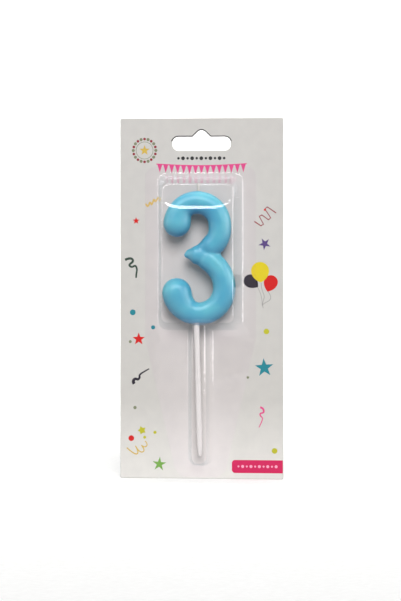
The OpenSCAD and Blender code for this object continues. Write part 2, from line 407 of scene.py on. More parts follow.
def coated_board(colours):
    """White-coated paperboard: faintly mottled in front, with painted shade that greys it upwards from its
    foot, greyer fibres on its back and cut edges.
    """
    material, tree, place = new_material("coated_paperboard")
    # cloudy formation of the sheet, about 6 mm across, and paper tooth, drawn at about 0.5 mm
    cloud = noise(tree, place["Object"], 160.0, 3.0)
    tooth = noise(tree, place["Object"], 2000.0, 4.0)
    # painted shade: a grey cast that fades out towards the board's foot, standing in for the light falling
    # off up the board
    low, high = CAD_BOUNDS
    spot = add(tree, "ShaderNodeSeparateXYZ", {"Vector": place["Object"]})
    painted_shade_rise = remap(tree, spot.outputs["Z"], (low.z, high.z), (0.0, 1.0))
    tint = ramp(tree, painted_shade_rise, [(0.0, tuple(colours.board)), (0.22, tuple(colours.board_middle_painted_shade)),
                             (1.0, tuple(colours.board_top_painted_shade))])
    haze = ramp(tree, cloud, [(0.3, (0.955, 0.955, 0.96, 1.0)), (0.65, (1.0, 1.0, 1.0, 1.0))])
    front = blend_colours(tree, 1.0, tint, haze, "MULTIPLY")
    back = ramp(tree, tooth, [(0.35, linear("#A39D92")), (0.65, tuple(colours.board_back))])
    # the coating covers only the front face, just behind y = 0
    side = remap(tree, spot.outputs["Y"], (0.00002, 0.00005), (0.0, 1.0))
    principled(tree, Base_Color=blend_colours(tree, side, front, back),
               Roughness=remap(tree, side, (0.0, 1.0), (0.42, 0.85)), Specular_IOR_Level=0.4,
               Normal=bumps(tree, tooth, 0.12, 0.00005))
    return material


def printing_ink(name, code):
    """Offset ink on the coated board: thin, a little patchy in the solids, with the board's satin gloss."""
    material, tree, place = new_material("offset_ink_" + name)
    # press mottle of about 0.4 mm
    mottle = noise(tree, place["Object"], 2500.0, 2.0)
    light = tuple(min(1.0, c * 1.08 + 0.004) for c in code[:3]) + (1.0,)
    principled(tree, Base_Color=ramp(tree, mottle, [(0.35, code), (0.75, light)]), Roughness=0.4,
               Specular_IOR_Level=0.4)
    return material


def formed_clear_sheet(colours):
    """Clear PET sheet, vacuum formed: only gloss face on, a little greyer and brighter along its folds."""
    material, tree, place = new_material("vacuum_formed_clear_pet")
    # waves about 9 mm long left where the hot sheet stretched
    waves = bumps(tree, noise(tree, place["Object"], 110.0, 1.5), 0.3, 0.0003)
    # share mirrored by PET at this slant: 2 or 3 % face on, rising steeply along the folds
    slant = add(tree, "ShaderNodeLayerWeight", {"Blend": 0.5, "Normal": waves}).outputs["Facing"]
    steep = add(tree, "ShaderNodeMath", {0: slant, 1: 4.0}, operation="POWER").outputs["Value"]
    mirrored = remap(tree, steep, (0.0, 1.0), (0.024, 0.6))
    # light crosses more of the sheet on a slant, so folds look greyer
    tint = ramp(tree, slant, [(0.55, tuple(colours.sheet)), (0.97, linear("#E6EBED"))])
    through = add(tree, "ShaderNodeBsdfTransparent", {"Color": tint})
    gloss = add(tree, "ShaderNodeBsdfPrincipled", {
        "Base Color": (1.0, 1.0, 1.0, 1.0), "Metallic": 1.0, "Roughness": 0.05, "Normal": waves})
    film = blend_shaders(tree, mirrored, through, gloss)
    # lamps shine straight through, as they do through real clear film
    path = add(tree, "ShaderNodeLightPath")
    lit = add(tree, "ShaderNodeBsdfTransparent", {"Color": tuple(colours.sheet)})
    whole = blend_shaders(tree, path.outputs["Is Shadow Ray"], film, lit)
    add(tree, "ShaderNodeOutputMaterial", {"Surface": whole.outputs["Shader"]})
    return material


def studio_paper():
    """Seamless background paper: matt and even, with a faint tooth of about 2.5 mm."""
    material, tree, place = new_material("seamless_paper")
    tooth = noise(tree, place["Object"], 400.0, 3.0)
    shade = ramp(tree, tooth, [(0.3, linear("#F7F7F6")), (0.7, linear("#FDFDFC"))])
    # to light that bounces off it the paper is mid grey, so that it brightens the pack less from below
    path = add(tree, "ShaderNodeLightPath")
    seen = blend_colours(tree, path.outputs["Is Diffuse Ray"], shade, linear("#9C9C9C"))
    principled(tree, Base_Color=seen, Roughness=0.9, Specular_IOR_Level=0.1)
    return material


# ---------------------------------------------------------------- the candle

# how far wick and pick stand from the numeral's middle, as shares of its width
WICK_SHARE = 0.03
PICK_SHARE = -0.04


def mix(a, b, t):
    """The value a share t of the way from a to b."""
    return a + (b - a) * t


def ease(t):
    """A share from 0 to 1, slow at both ends."""
    c = min(1.0, max(0.0, t))
    return c * c * (3 - 2 * c)


def curve_point(a, b, c, d, t):
    """A point of the cubic curve from a to d with handles b and c."""
    s = 1 - t
    return [s ** 3 * p + 3 * s * s * t * q + 3 * s * t * t * r + t ** 3 * w for p, q, r, w in zip(a, b, c, d)]


def numeral_strokes(sizes):
    """The strokes as (across, up, half width) stations: upper bowl and tail, lower bowl, and a web."""
    w, h, thick = sizes.width, sizes.height, sizes.stroke / 2
    arc_steps, tail_steps = 44, 28
    point_r = 2.1 * MM
    upper = []
    lower = []
    r = w * sizes.upper_share / 2
    centre = (0.003 * w, h / 2 - r)
    for i in range(arc_steps + 1):
        t = i / arc_steps
        turn = math.radians(mix(172, 0, t))
        half = mix(sizes.ball_up / 2, thick, ease(t / 0.34))
        upper.append((centre[0] + (r - half) * math.cos(turn), centre[1] + (r - half) * math.sin(turn), half))
    start = (centre[0] + r - thick, centre[1])
    beak = (-0.108 * w, 0.04 * h)
    handles = ((start[0] + 0.013 * w, start[1] - 0.157 * h), (beak[0] + 0.24 * w, beak[1] + 0.024 * h))
    for i in range(1, tail_steps + 1):
        t = i / tail_steps
        x, z = curve_point(start, handles[0], handles[1], beak, t)
        upper.append((x, z, mix(thick, point_r, ease((t - 0.5) / 0.5))))
    r = w / 2
    middle = -h / 2 + r
    beak = (-0.099 * w, 0.03 * h)
    end = (r - thick, middle)
    handles = ((beak[0] + 0.2 * w, beak[1]), (end[0], end[1] + 0.15 * h))
    for i in range(tail_steps):
        t = i / tail_steps
        x, z = curve_point(beak, handles[0], handles[1], end, t)
        lower.append((x, z, mix(point_r, thick, ease(t / 0.38))))
    for i in range(arc_steps + 1):
        t = i / arc_steps
        turn = math.radians(mix(0, -168, t))
        half = mix(thick, sizes.ball_low / 2, ease((t - 0.55) / 0.45))
        lower.append(((r - half) * math.cos(turn), middle + (r - half) * math.sin(turn), half))
    # the web that fills the beak out between the two strokes
    shares = [(-0.143, 0.025, 0.044), (-0.112, 0.027, 0.072), (-0.048, 0.026, 0.121),
              (0.021, 0.021, 0.135), (0.08, 0.013, 0.135)]
    web = [(across * w, up * h, half * w) for across, up, half in shares]
    return upper, lower, web


def round_ends(stations):
    """Adds the shrinking stations that round both ends of a stroke."""
    def cap(at, before):
        along = Vector((at[0] - before[0], at[1] - before[1])).normalized()
        for turn in (15, 30, 45, 60, 72, 82, 88):
            reach = at[2] * math.sin(math.radians(turn))
            yield (at[0] + along.x * reach, at[1] + along.y * reach, at[2] * math.cos(math.radians(turn)))
    first = list(cap(stations[0], stations[1]))
    last = list(cap(stations[-1], stations[-2]))
    return first[::-1] + stations + last


def tube_along(name, stations, facets=6, kind="POLY", flat=None):
    """A closed round solid along upright (x, z, radius) stations, flattened to a share if asked."""
    clear_selection()
    bpy.ops.curve.primitive_nurbs_path_add()
    obj = bpy.context.object
    obj.name = name
    shape = obj.data
    shape.dimensions = "3D"
    shape.splines.clear()
    spline = shape.splines.new(kind)
    spline.points.add(len(stations) - 1)
    spline.order_u = 4
    spline.use_endpoint_u = True
    for point, (x, z, radius) in zip(spline.points, stations):
        point.co = (x, 0, z, 1)
        point.radius = radius
    shape.resolution_u = 6
    shape.bevel_depth = 1.0
    shape.bevel_resolution = facets
    shape.use_fill_caps = True
    bpy.ops.object.convert(target="MESH")
    obj = bpy.context.object
    if flat is not None:
        edit(obj)
        pick_all()
        stretch((1, flat, 1), (0, 0, 0))
        clear_selection()
    return obj


def into_pack(obj, sizes):
    """Leans an upright piece of the candle and sets it in its place in the pack."""
    obj.rotation_euler = (0, -sizes.lean, 0)
    obj.location = tuple(sizes.centre)
    settle(obj)


def collar(obj, at, pull, reach):
    """Draws the skin out along z round one spot, as wax creeps up a stick that it sets on."""
    edit(obj)
    bm = bmesh.from_edit_mesh(obj.data)
    near = min(bm.verts, key=lambda v: (v.co - Vector(at)).length)
    near.select_set(True)
    bmesh.update_edit_mesh(obj.data)
    bpy.ops.transform.translate(
        value=(0, 0, pull), use_proportional_edit=True, proportional_edit_falloff="SHARP",
        proportional_size=reach)
    clear_selection()


class CANDLEPACK_OT_wax(bpy.types.Operator):
    """Casts the numeral: strokes and web run as tubes, flattened, fused into one skin and smoothed"""
    bl_idname = "candlepack.wax"
    bl_label = "Wax numeral"

    def execute(self, context):
        sizes = context.scene.candle_sizes
        strokes = [tube_along("stroke", round_ends(stations), 8, flat=sizes.depth_share)
                   for stations in numeral_strokes(sizes)]
        wax = join(strokes, "cast_numeral")
        outward(wax)
        modify(wax, "REMESH", mode="VOXEL", voxel_size=sizes.skin)
        modify(wax, "SMOOTH", factor=0.5, iterations=24)
        low = -sizes.height / 2
        collar(wax, (PICK_SHARE * sizes.width, 0, low), -0.5 * MM, 2.6 * MM)
        collar(wax, (WICK_SHARE * sizes.width, 0, -low), 0.5 * MM, 2.0 * MM)
        into_pack(wax, sizes)
        smooth(wax, 180)
        dress(wax, "cast_numeral", "candle", moulded_wax, ["wax_numeral"])
        return {"FINISHED"}


class CANDLEPACK_OT_wick(bpy.types.Operator):
    """Twists the wick from three strands and leaves its cut end a little open"""
    bl_idname = "candlepack.wick"
    bl_label = "Wick"

    def execute(self, context):
        sizes = context.scene.candle_sizes
        strand_r = sizes.wick_across * 0.26
        long = sizes.wick_free + sizes.wick_in
        foot = sizes.height / 2 - 0.25 * MM - sizes.wick_in
        strands = []
        for i in range(3):
            turn = math.radians(120 * i)
            clear_selection()
            bpy.ops.mesh.primitive_circle_add(
                vertices=14, radius=strand_r, fill_type="NGON",
                location=(math.cos(turn) * strand_r * 0.95, math.sin(turn) * strand_r * 0.95, 0))
            strands.append(bpy.context.object)
        wick = join(strands, "twisted_wick")
        settle(wick)
        # the three ends stay as caps, the rims are swept up round the axis
        modify(wick, "SCREW", axis="Z", angle=math.radians(360 * 3.4), screw_offset=long, steps=72,
               render_steps=72, use_merge_vertices=False)
        edit(wick, "EDGE")
        bpy.ops.mesh.select_non_manifold()
        bpy.ops.mesh.edge_face_add()
        outward(wick)
        # the cut end opens a little
        edit(wick)
        pick_parts(wick, "verts", lambda v: v.co.z > long - 0.6 * MM)
        stretch((1.18, 1.18, 1.0), (0, 0, long))
        clear_selection()
        wick.location = (WICK_SHARE * sizes.width, 0, foot)
        settle(wick)
        into_pack(wick, sizes)
        smooth(wick, 50)
        dress(wick, "twisted_wick", "candle", waxed_cotton, ["wick"])
        return {"FINISHED"}


class CANDLEPACK_OT_pick(bpy.types.Operator):
    """Moulds the pick: a round stick with a tapered blunt tip and the faint line of its mould"""
    bl_idname = "candlepack.pick"
    bl_label = "Pick"

    def execute(self, context):
        sizes = context.scene.candle_sizes
        radius = sizes.pick_across / 2
        long = sizes.pick_free + sizes.pick_in
        low = -sizes.height / 2 - sizes.pick_free
        clear_selection()
        bpy.ops.mesh.primitive_cylinder_add(
            vertices=32, radius=radius, depth=long, end_fill_type="NGON",
            location=(PICK_SHARE * sizes.width, 0, low + long / 2))
        pick = bpy.context.object
        settle(pick)
        axis = Vector((PICK_SHARE * sizes.width, 0, 0))
        edit(pick)
        for height in (low + sizes.pick_tip, low + sizes.pick_tip * 0.5):
            pick_all()
            bpy.ops.mesh.bisect(plane_co=(0, 0, height), plane_no=(0, 0, 1))
        # the line of the mould stands out along both sides
        pick_parts(pick, "verts", lambda v: abs(v.co.y) < radius * 0.05)
        stretch((1.04, 1, 1), tuple(axis))
        for height, share in ((low + sizes.pick_tip * 0.5, 0.86), (low, 0.62)):
            pick_parts(pick, "verts", lambda v: abs(v.co.z - height) < 0.01 * MM)
            stretch((share, share, 1), (axis.x, 0, height))
        # blunt tip
        bpy.ops.mesh.select_mode(type="EDGE")
        pick_parts(pick, "edges", lambda e: all(abs(v.co.z - low) < 0.01 * MM for v in e.verts))
        bpy.ops.mesh.bevel(offset=0.45 * MM, segments=4, affect="EDGES")
        outward(pick)
        into_pack(pick, sizes)
        smooth(pick, 35)
        dress(pick, "moulded_pick", "candle", moulded_polypropylene, ["pick"])
        return {"FINISHED"}


# ---------------------------------------------------------------- the board and its print

class CANDLEPACK_OT_board(bpy.types.Operator):
    """Takes the die-cut board's shape and eases its cut edges"""
    bl_idname = "candlepack.board"
    bl_label = "Backing board"

    def execute(self, context):
        clear_selection()
        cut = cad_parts["backing_card"]
        board = bpy.data.objects.new("die_cut_board", cut.data.copy())
        context.scene.collection.objects.link(board)
        board.data.materials.clear()
        outward(board)
        edit(board, "EDGE")
        pick_all()
        bpy.ops.mesh.dissolve_limited(angle_limit=math.radians(1))
        clear_selection()
        modify(board, "BEVEL", width=0.24 * MM, segments=3, limit_method="ANGLE",
               angle_limit=math.radians(60), harden_normals=True)
        dress(board, "die_cut_board", "card", coated_board, ["backing_card"])
        return {"FINISHED"}


def disc(x, z, radius, corners=24):
    """A flat disc on the board's plane, in millimetres."""
    clear_selection()
    bpy.ops.mesh.primitive_circle_add(
        vertices=corners, radius=radius * MM, fill_type="NGON", location=(x * MM, 0, z * MM),
        rotation=(math.radians(90), 0, 0))
    obj = bpy.context.object
    settle(obj)
    return obj


def star(x, z, radius, turn=0.0, waist=0.42):
    """A five-pointed star: every other corner of a ten-sided disc is drawn in to the waist."""
    obj = disc(0, 0, radius, 10)
    edit(obj)
    bm = bmesh.from_edit_mesh(obj.data)
    bm.verts.ensure_lookup_table()
    corners = sorted(range(10), key=lambda i: math.atan2(bm.verts[i].co.x, bm.verts[i].co.z))
    top = max(range(10), key=lambda i: bm.verts[corners[i]].co.z)
    for step in range(1, 10, 2):
        bm.verts[corners[(top + step) % 10]].select_set(True)
    bmesh.update_edit_mesh(obj.data)
    stretch((waist, 1, waist), (0, 0, 0))
    clear_selection()
    obj.rotation_euler = (0, math.radians(-turn), 0)
    obj.location = (x * MM, 0, z * MM)
    settle(obj)
    return obj


def balloon(x, z, radius, tip_x, tip_z):
    """A balloon: the side of a disc nearest its neck is drawn out to a point."""
    obj = disc(x, z, radius, 28)
    edit(obj)
    bm = bmesh.from_edit_mesh(obj.data)
    neck = Vector((tip_x * MM, 0, tip_z * MM))
    near = min(bm.verts, key=lambda v: (v.co - neck).length)
    near.select_set(True)
    step = neck - near.co
    bmesh.update_edit_mesh(obj.data)
    bpy.ops.transform.translate(value=tuple(step), use_proportional_edit=True,
                                proportional_edit_falloff="SHARP", proportional_size=radius * MM * 1.5)
    clear_selection()
    return obj


def ribbon(points, thick, thin=None, kind="NURBS"):
    """A printed streamer through (x, z) points, thick at its start and thin at its end, in millimetres."""
    last = len(points) - 1
    thin = thick if thin is None else thin
    stations = [(x * MM, z * MM, mix(thick, thin, i / last) * MM / 2) for i, (x, z) in enumerate(points)]
    return tube_along("ribbon", stations, 2, kind, flat=0.05)


def pennant(x, z, wide, tall):
    """A small three-cornered flag hanging from its upper edge."""
    obj = disc(0, 0, 1.0, 3)
    edit(obj)
    pick_all()
    low, high = corners_of(obj)
    stretch((wide * MM / (high.x - low.x), 1, -tall * MM / (high.z - low.z)), (0, 0, 0))
    clear_selection()
    low, high = corners_of(obj)
    obj.location = (x * MM, 0, z * MM - high.z)
    settle(obj)
    return obj


def ring(x, z, outer, inner):
    """A flat ring: a disc whose inset middle is taken out."""
    obj = disc(x, z, outer, 40)
    edit(obj, "FACE")
    pick_all()
    bpy.ops.mesh.inset(thickness=(outer - inner) * MM)
    bpy.ops.mesh.delete(type="FACE")
    clear_selection()
    return obj


def label(left, right, high, low, corner):
    """A flat label with its two left corners rounded."""
    obj = plain_plate(((left + right) / 2 * MM, 0, (high + low) / 2 * MM), (right - left) * MM,
                      (high - low) * MM)
    edit(obj)
    pick_parts(obj, "verts", lambda v: v.co.x < (left + right) / 2 * MM)
    bpy.ops.mesh.bevel(offset=corner * MM, segments=6, affect="VERTICES")
    clear_selection()
    return obj


def corners_of(obj):
    """Lowest and highest corner of a mesh."""
    spots = [v.co for v in obj.data.vertices]
    return tuple(Vector(end(s[i] for s in spots) for i in range(3)) for end in (min, max))


def slot_painted_shadow():
    """A thin dark line along the upper rim of the hang slot, a painted shadow of the slot's cut edge, drawn
    from the board's own rim.
    """
    rim = {(v.co.x / MM, v.co.z / MM) for v in bpy.data.objects["die_cut_board"].data.vertices
           if abs(v.co.y) < 0.001 * MM and abs(v.co.x) < 17 * MM and -11 * MM < v.co.z < 1 * MM}
    upper = sorted((p for p in rim if p[1] > -6.0), key=lambda p: -math.atan2(p[1] + 8.0, p[0]))
    return ribbon([(x * 1.01, z + 0.1) for x, z in upper], 0.5, 0.4, "POLY")


def printed_shapes():
    """Every printed shape by ink, in millimetres: streamers, stars, dots, balloons, bands, and a painted
    shadow along the hang slot's rim.

    A later ink lies higher on the board, so the order of the inks counts.
    """
    emblem = (-28.7, -10.0)
    sag = [0.9 * math.sin(math.pi * i / 14) for i in range(15)]
    bead = [(5.7 * math.cos(math.radians(18 * i)), 5.7 * math.sin(math.radians(18 * i))) for i in range(20)]
    return {
        "black": [
            # painted shadow: a dark line along the slot's upper rim, where the board's shadow would show
            # through
            slot_painted_shadow(),
            *[disc(-11.6 + 2.3 * i, -14.0, 0.95 if i % 2 else 0.65) for i in range(11)],
        ],
        "olive": [
            *[disc(emblem[0] + x, emblem[1] + z, 0.8, 10) for x, z in bead[::2]],
            ring(*emblem, 4.4, 4.15),
            disc(-35.97, -105.8, 0.75), disc(-33.6, -138.9, 0.85), disc(23.3, -123.5, 0.65),
        ],
        "dark_red": [
            *[disc(emblem[0] + x, emblem[1] + z, 0.7, 10) for x, z in bead[1::2]],
            ribbon([(26.5, -45.6), (29.8, -47.8), (31.1, -47.0), (29.0, -43.1), (30.3, -42.4), (33.6, -44.8),
                    (34.7, -43.8), (31.8, -39.4), (33.0, -38.4), (37.4, -41.4)], 0.6, 0.55, "POLY"),
        ],
        "gold": [
            star(*emblem, 2.7),
            ribbon([(-28.1, -36.6), (-27.0, -39.6), (-25.9, -33.6), (-25.2, -39.2), (-23.8, -32.4),
                    (-23.4, -38.0), (-21.6, -31.8), (-21.0, -35.0)], 0.8, 0.6),
            ribbon([(-37.8, -159.1), (-33.6, -162.9), (-31.0, -162.3), (-34.0, -157.0), (-32.6, -159.8),
                    (-30.3, -161.8), (-28.2, -160.4), (-31.2, -156.8), (-28.8, -159.6), (-26.6, -157.4),
                    (-28.6, -155.6)], 0.6, 0.5),
        ],
        "red": [
            star(-33.0, -45.2, 1.9), star(-31.7, -104.5, 3.3), disc(-35.5, -154.3, 1.45),
            balloon(34.8, -75.9, 3.5, 33.1, -80.6), disc(31.8, -39.8, 0.55),
        ],
        "dark_green": [
            ribbon([(-38.6, -64.8), (-36.5, -63.8), (-34.6, -64.2), (-34.4, -66.0), (-37.2, -67.2),
                    (-35.0, -68.9), (-33.4, -67.0), (-32.2, -69.8), (-33.0, -71.6), (-33.0, -73.8)],
                   1.25, 0.85),
        ],
        "teal": [disc(-34.7, -91.1, 1.45), disc(-24.4, -98.6, 1.05), star(31.5, -118.6, 4.8, 4, 0.4)],
        "green": [star(-21.3, -167.2, 3.7, -5, 0.36)],
        "lime": [
            star(-30.1, -150.3, 2.2, 20, 0.6), disc(32.6, -100.5, 1.4), disc(36.7, -160.1, 1.4),
            disc(-23.5, -151.3, 0.8), disc(-28.7, -153.8, 0.75),
        ],
        "navy": [
            ribbon([(-34.0, -127.0), (-34.9, -125.6), (-33.4, -123.9), (-32.2, -125.2), (-30.9, -123.6),
                    (-31.8, -122.6), (-29.7, -121.2), (-26.4, -119.4)], 1.7, 0.6),
            balloon(24.5, -75.3, 3.3, 28.4, -78.3),
        ],
        "purple": [star(31.7, -56.8, 3.2, 29, 0.38)],
        "yellow": [balloon(29.4, -70.3, 4.5, 29.7, -76.0)],
        "grey": [
            ribbon([(30.0, -76.2), (29.9, -78.4), (31.0, -81.4), (32.0, -83.6), (30.2, -86.6), (31.0, -88.8)],
                   0.3, 0.3),
            ribbon([(33.3, -80.4), (34.6, -82.2), (35.1, -84.2), (33.4, -85.6), (31.3, -86.4), (30.4, -87.6)],
                   0.3, 0.3),
            ribbon([(27.9, -78.1), (29.6, -80.6), (30.6, -84.0), (30.4, -87.4)], 0.25, 0.25),
        ],
        "pink": [
            ribbon([(29.5, -138.4), (30.6, -138.5), (31.6, -140.2), (31.0, -141.3), (29.2, -141.2),
                    (29.6, -143.0), (30.9, -143.4), (30.6, -145.0), (28.9, -148.4)], 1.1, 0.4),
            *[pennant(-21.0 + 3.0 * i, -16.9 - sag[i], 2.6, 4.2) for i in range(15)],
            ribbon([(-22.8 + 3.26 * i, -16.8 - sag[i]) for i in range(15)], 0.5, 0.5),
        ],
        "magenta": [label(15.3, 40.85, -164.8, -171.3, 1.6)],
        "pale": [disc(18.6 + 2.1 * i, -168.0, 0.75 if i % 2 else 0.5, 16) for i in range(10)],
    }


class CANDLEPACK_OT_print(bpy.types.Operator):
    """Prints the party decoration and a painted shadow at the hang slot: every ink is a film of its own, a
    few hundredths of a millimetre proud
    """
    bl_idname = "candlepack.print"
    bl_label = "Printed decoration"

    def execute(self, context):
        colours = context.scene.pack_colours
        sunk = 0.01 * MM
        films = []
        for rank, (ink, shapes) in enumerate(printed_shapes().items()):
            # a later ink lies a little higher, so that overlapping films never share a face
            proud = (0.008 + 0.0018 * rank) * MM
            for shape in shapes:
                low, high = corners_of(shape)
                if high.y - low.y < 0.001 * MM:
                    edit(shape, "FACE")
                    pick_all()
                    bpy.ops.transform.translate(value=(0, sunk, 0))
                    extrude(0, -sunk - proud, 0)
                outward(shape)
            film = join(shapes, "film_" + ink)
            film.data.materials.append(printing_ink(ink, tuple(getattr(colours, ink))))
            films.append(film)
        # the print also carries the painted shadow line at the hang slot
        film = join(films, "printed_decoration")
        smooth(film, 30)
        dress(film, "printed_decoration", "card")
        return {"FINISHED"}


# ---------------------------------------------------------------- the formed blister

class Rim:
    """Outline of one level of a formed wall: half width, lower end, upper end, corner radius and depth."""

    def __init__(self, half, low, high, corner, y):
        self.half, self.low, self.high, self.y = half, low, high, y
        self.corner = min(corner, half - 0.1 * MM)

    def spot(self, across, up):
        """A point of the outline from its place along the sides (-1 to 1) and past them, in corner radii."""
        x = self.outer(across, -self.half + self.corner, self.half - self.corner)
        return x, self.outer(up, self.low + self.corner, self.high - self.corner)

    def outer(self, share, start, end):
        if abs(share) <= 1:
            return (start + end) / 2 + share * (end - start) / 2
        return (end if share > 0 else start) + math.copysign(abs(share) - 1, share) * self.corner

    def shares(self, x, z):
        """The other way round: a point's place along this outline."""
        return (self.share(x, -self.half + self.corner, self.half - self.corner),
                self.share(z, self.low + self.corner, self.high - self.corner))

    def share(self, value, start, end):
        if value < start:
            return -1 - (start - value) / self.corner
        if value > end:
            return 1 + (value - end) / self.corner
        return (2 * value - start - end) / (end - start)


def face_plate(rim, middle, cell):
    """The flat front of a formed wall: a rounded plate cut into cells, so that it can be dished."""
    plate = plain_plate((middle, rim.y, (rim.low + rim.high) / 2), 2 * rim.half, rim.high - rim.low)
    edit(plate)
    pick_all()
    bpy.ops.mesh.bevel(offset=rim.corner, segments=8, affect="VERTICES")
    cuts = [((middle - rim.half + cell * i, 0, 0), (1, 0, 0)) for i in range(1, int(2 * rim.half / cell) + 1)]
    cuts += [((0, 0, rim.low + cell * i), (0, 0, 1)) for i in range(1, int((rim.high - rim.low) / cell) + 1)]
    for place, normal in cuts:
        pick_all()
        bpy.ops.mesh.bisect(plane_co=place, plane_no=normal)
    clear_selection()
    return plate


def dish(plate, at, reach, step, deep):
    """Presses a shallow squarish dish into a plate: all inside goes back, and the step round it is eased."""
    edit(plate)
    inside = pick_parts(plate, "verts", lambda v: abs((v.co.x - at[0]) / reach[0]) ** 4
                        + abs((v.co.z - at[1]) / reach[1]) ** 4 < 1)
    if not inside:
        raise RuntimeError("the dish misses the plate")
    bpy.ops.transform.translate(
        value=(0, deep, 0), use_proportional_edit=True, proportional_edit_falloff="SMOOTH",
        proportional_size=step)
    clear_selection()


def draw_wall(plate, middle, rims, flat_from):
    """Draws the plate's rim out level by level; from level flat_from on, each level lies in one plane."""
    edit(plate, "EDGE")
    pick_parts(plate, "edges", lambda e: e.is_boundary)
    for level, (old, new) in enumerate(zip(rims, rims[1:]), 1):
        extrude(0, new.y - old.y, 0)
        bm = bmesh.from_edit_mesh(plate.data)
        for vert in bm.verts:
            if vert.select:
                x, z = new.spot(*old.shares(vert.co.x - middle, vert.co.z))
                vert.co = (x + middle, new.y if level >= flat_from else vert.co.y, z)
        bmesh.update_edit_mesh(plate.data)
    bpy.ops.mesh.edge_face_add()
    outward(plate)


def wall_rims(half, low, high, deep, corner, edge, foot, drafts, seat):
    """Levels of a wall from front plate to foot; its drafts are those of the sides, lower end and top."""
    side, under, over = drafts
    straight = deep - edge
    rims = []
    for turn in (90, 75, 60, 45, 30, 15, 0):
        inward = edge * (1 - math.cos(math.radians(turn)))
        rims.append(Rim(half - side * straight - inward, low + under * straight + inward,
                        high - over * straight - inward, corner - 0.35 * side * straight - 0.6 * inward,
                        -(straight + edge * math.sin(math.radians(turn)))))
    flat_from = len(rims)
    for turn in (90, 72, 54, 36, 18, 4):
        out = foot * (1 - math.sin(math.radians(turn)))
        height = foot * (1 - math.cos(math.radians(turn)))
        rims.append(Rim(half - side * height + out, low + under * height - out,
                        high - over * height + out, corner + out, -seat - height))
    last = rims[-1]
    rims.append(Rim(last.half, last.low, last.high, last.corner, -seat + 0.15 * MM))
    return rims, flat_from


class CANDLEPACK_OT_sheet(bpy.types.Operator):
    """Forms the clear sheet: cavity and pick channel drawn as walls, joined to the flange and given a wall"""
    bl_idname = "candlepack.sheet"
    bl_label = "Formed sheet"

    def execute(self, context):
        sizes = context.scene.pack_sizes
        seat = sizes.seal + sizes.sheet
        cavity, cavity_flat = wall_rims(
            sizes.cavity_half, sizes.cavity_low, sizes.cavity_top, sizes.cavity_deep,
            corner=4.5 * MM, edge=1.6 * MM, foot=0.9 * MM, drafts=(0.22, 0.30, 0.36), seat=seat)
        channel, channel_flat = wall_rims(
            sizes.channel_half, sizes.channel_low, sizes.cavity_low + 8 * MM, sizes.channel_deep,
            corner=4.6 * MM, edge=2.4 * MM, foot=0.8 * MM, drafts=(0.34, 0.16, 0.0), seat=seat + 0.001 * MM)
        body = face_plate(cavity[0], sizes.middle, cell=0.65 * MM)
        dish(body, (sizes.middle, cavity[0].high + 2 * MM), (sizes.dish_half, sizes.dish_down),
             sizes.dish_step, sizes.dish_deep)
        draw_wall(body, sizes.middle, cavity, cavity_flat)
        trough = face_plate(channel[0], sizes.middle, cell=3.0 * MM)
        draw_wall(trough, sizes.middle, channel, channel_flat)
        flange = self.flange(sizes, seat)
        for part in (trough, flange):
            modify(body, "BOOLEAN", operation="UNION", solver="EXACT", object=part)
            drop(part)
        # only the outer face is kept, and the wall grows inwards from it
        edit(body, "FACE")
        pick_parts(body, "faces", lambda f: f.calc_center_median().y > -seat + 0.001 * MM)
        bpy.ops.mesh.delete(type="FACE")
        clear_selection()
        # slivers left by the unions would throw the wall's even thickness off
        bpy.ops.object.mode_set(mode="EDIT")
        pick_all()
        bpy.ops.mesh.remove_doubles(threshold=0.05 * MM)
        clear_selection()
        modify(body, "SOLIDIFY", thickness=sizes.sheet, offset=-1, use_even_offset=True,
               use_quality_normals=True)
        outward(body)
        smooth(body, 38)
        dress(body, "formed_sheet", "blister", formed_clear_sheet, ["blister_shell"])
        return {"FINISHED"}

    def flange(self, sizes, seat):
        """The flat flange: a plate drawn down and narrowed to its lower end, with rounded corners."""
        shoulder = sizes.cavity_low - 4 * MM
        flange = plain_plate((sizes.middle, -seat, (sizes.flange_top + shoulder) / 2),
                             2 * sizes.flange_half, sizes.flange_top - shoulder)
        edit(flange, "EDGE")
        pick_parts(flange, "edges", lambda e: all(v.co.z < shoulder + 1 * MM for v in e.verts))
        extrude(0, 0, sizes.flange_low - shoulder)
        stretch((sizes.flange_low_half / sizes.flange_half, 1, 1), (sizes.middle, 0, sizes.flange_low))
        pick_all()
        bpy.ops.mesh.dissolve_limited(angle_limit=math.radians(1))
        slope = math.atan((sizes.flange_half - sizes.flange_low_half) / (shoulder - sizes.flange_low))
        corners = (
            (sizes.flange_top, 5 * MM),
            (shoulder, 16 * MM * math.tan(slope / 2)),
            (sizes.flange_low, 6 * MM * math.tan((math.pi / 2 - slope) / 2)))
        for height, cut in corners:
            bpy.ops.mesh.select_mode(type="VERT")
            pick_parts(flange, "verts", lambda v: abs(v.co.z - height) < 0.01 * MM)
            bpy.ops.mesh.bevel(offset=cut, segments=8, affect="VERTICES")
        pick_all()
        extrude(0, sizes.sheet, 0)
        outward(flange)
        return flange


# ---------------------------------------------------------------- the studio

